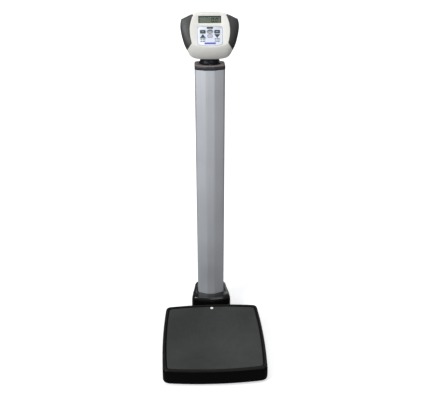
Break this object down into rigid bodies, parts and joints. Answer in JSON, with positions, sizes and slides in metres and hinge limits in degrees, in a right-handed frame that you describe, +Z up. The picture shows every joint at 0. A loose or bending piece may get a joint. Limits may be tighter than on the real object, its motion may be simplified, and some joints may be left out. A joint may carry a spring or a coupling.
{
  "type": "physician column scale",
  "caption": "Digital physician scale: a low square platform with a rubber mat, a silver column behind it and a swivelling display head with side grips and a keypad.",
  "frame": {"origin": "on the floor, in the middle of the footprint's bounding box", "axes": "+Z up along the column; -Y towards the side that a person steps on from; +X to the right for someone who faces the column"},
  "size_m": [0.3642, 0.4994, 1.1331],
  "materials": {
    "dark_steel": "satin grey paint",
    "circuit_board": "green solder mask",
    "black_plastic": "satin black",
    "mat_rubber": "dark grey, small raised diamonds",
    "white_plastic": "white",
    "vial_glass": "clear",
    "satin_aluminium": "satin anodised silver",
    "gloss_black": "gloss black",
    "cap_plastic": "dark grey, fine texture",
    "cable_jacket": "black",
    "bright_steel": "zinc plated",
    "nylon": "natural white",
    "head_plastic": "off-white, fine texture",
    "grip_rubber": "dark grey, soft touch",
    "window_glass": "clear",
    "lcd_glass": "grey-green",
    "label_film": "pale blue-white film",
    "key_grey": "slate grey",
    "battery_can": "printed sleeve",
    "foot_rubber": "black",
    "cell_aluminium": "machined"
  },
  "bodies": {
    "base": {"base_frame": "dark_steel", "junction_board": "circuit_board", "load_cell_front_left": "cell_aluminium", "load_cell_back_left": "cell_aluminium", "load_cell_front_right": "cell_aluminium", "load_cell_back_right": "cell_aluminium", "column_bracket": "dark_steel", "bracket_bolt_1": "bright_steel", "bracket_bolt_2": "bright_steel", "bracket_bolt_3": "bright_steel", "bracket_bolt_4": "bright_steel", "column": "satin_aluminium", "column_shroud": "gloss_black", "column_cap": "cap_plastic", "signal_cable": "cable_jacket", "swivel_disc": "black_plastic", "swivel_stem": "bright_steel", "swivel_nut": "bright_steel"},
    "deck": {"deck_plate": "dark_steel", "platform_cover": "black_plastic", "platform_mat": "mat_rubber", "level_vial_cup": "white_plastic", "level_vial_lens": "vial_glass"},
    "head": {"neck": "black_plastic", "swivel_washer": "nylon", "head_front_shell": "head_plastic", "head_rear_shell": "head_plastic", "grip_left": "grip_rubber", "grip_right": "grip_rubber", "display_window": "window_glass", "lcd_panel": "lcd_glass", "keypad_label": "label_film", "main_board": "circuit_board", "battery_tray": "black_plastic", "battery_1": "battery_can", "battery_2": "battery_can", "battery_3": "battery_can", "battery_4": "battery_can", "battery_5": "battery_can", "battery_6": "battery_can", "power_jack": "black_plastic", "head_screw_1": "bright_steel", "head_screw_2": "bright_steel", "head_screw_3": "bright_steel", "head_screw_4": "bright_steel"},
    "battery_door": {"battery_door": "head_plastic"},
    "foot_front_left": {"levelling_foot_front_left": "foot_rubber"},
    "foot_back_left": {"levelling_foot_back_left": "foot_rubber"},
    "foot_front_right": {"levelling_foot_front_right": "foot_rubber"},
    "foot_back_right": {"levelling_foot_back_right": "foot_rubber"},
    "key_clear": {"key_clear": "key_grey"},
    "key_power": {"key_power": "key_grey"},
    "key_units": {"key_units": "key_grey"},
    "key_zero": {"key_zero": "key_grey"},
    "key_hold": {"key_hold": "key_grey"},
    "key_up": {"key_up": "key_grey"},
    "key_down": {"key_down": "key_grey"}
  },
  "joints": [
    {"name": "deck_press", "type": "slide", "parent": "base", "child": "deck", "axis": [0, 0, -1], "range_m": [0, 0.0005], "stiffness_N_per_m": 1000000},
    {"name": "head_swivel", "type": "hinge", "parent": "base", "child": "head", "pos_m": [0, 0.19571, 0.993], "axis": [0, 0, 1], "range_deg": [-170, 170]},
    {"name": "battery_door_hinge", "type": "hinge", "parent": "head", "child": "battery_door", "pos_m": [0, 0.24076, 1.02335], "axis": [-1, 0, 0], "range_deg": [0, 95]},
    {"name": "foot_front_left_turn", "type": "hinge", "parent": "base", "child": "foot_front_left", "pos_m": [-0.142, -0.20929, 0.004], "axis": [0, 0, 1], "continuous": true},
    {"name": "foot_back_left_turn", "type": "hinge", "parent": "base", "child": "foot_back_left", "pos_m": [-0.142, 0.0747, 0.004], "axis": [0, 0, 1], "continuous": true},
    {"name": "foot_front_right_turn", "type": "hinge", "parent": "base", "child": "foot_front_right", "pos_m": [0.142, -0.20929, 0.004], "axis": [0, 0, 1], "continuous": true},
    {"name": "foot_back_right_turn", "type": "hinge", "parent": "base", "child": "foot_back_right", "pos_m": [0.142, 0.0747, 0.004], "axis": [0, 0, 1], "continuous": true},
    {"name": "key_clear_press", "type": "slide", "parent": "head", "child": "key_clear", "axis": [0, 0.9272, -0.3746], "range_m": [0, 0.0006], "stiffness_N_per_m": 500},
    {"name": "key_power_press", "type": "slide", "parent": "head", "child": "key_power", "axis": [0, 0.9272, -0.3746], "range_m": [0, 0.0006], "stiffness_N_per_m": 500},
    {"name": "key_units_press", "type": "slide", "parent": "head", "child": "key_units", "axis": [0, 0.9272, -0.3746], "range_m": [0, 0.0006], "stiffness_N_per_m": 500},
    {"name": "key_zero_press", "type": "slide", "parent": "head", "child": "key_zero", "axis": [0, 0.9272, -0.3746], "range_m": [0, 0.0006], "stiffness_N_per_m": 500},
    {"name": "key_hold_press", "type": "slide", "parent": "head", "child": "key_hold", "axis": [0, 0.9272, -0.3746], "range_m": [0, 0.0006], "stiffness_N_per_m": 500},
    {"name": "key_up_press", "type": "slide", "parent": "head", "child": "key_up", "axis": [0, 0.9272, -0.3746], "range_m": [0, 0.0006], "stiffness_N_per_m": 500},
    {"name": "key_down_press", "type": "slide", "parent": "head", "child": "key_down", "axis": [0, 0.9272, -0.3746], "range_m": [0, 0.0006], "stiffness_N_per_m": 500}
  ]
}
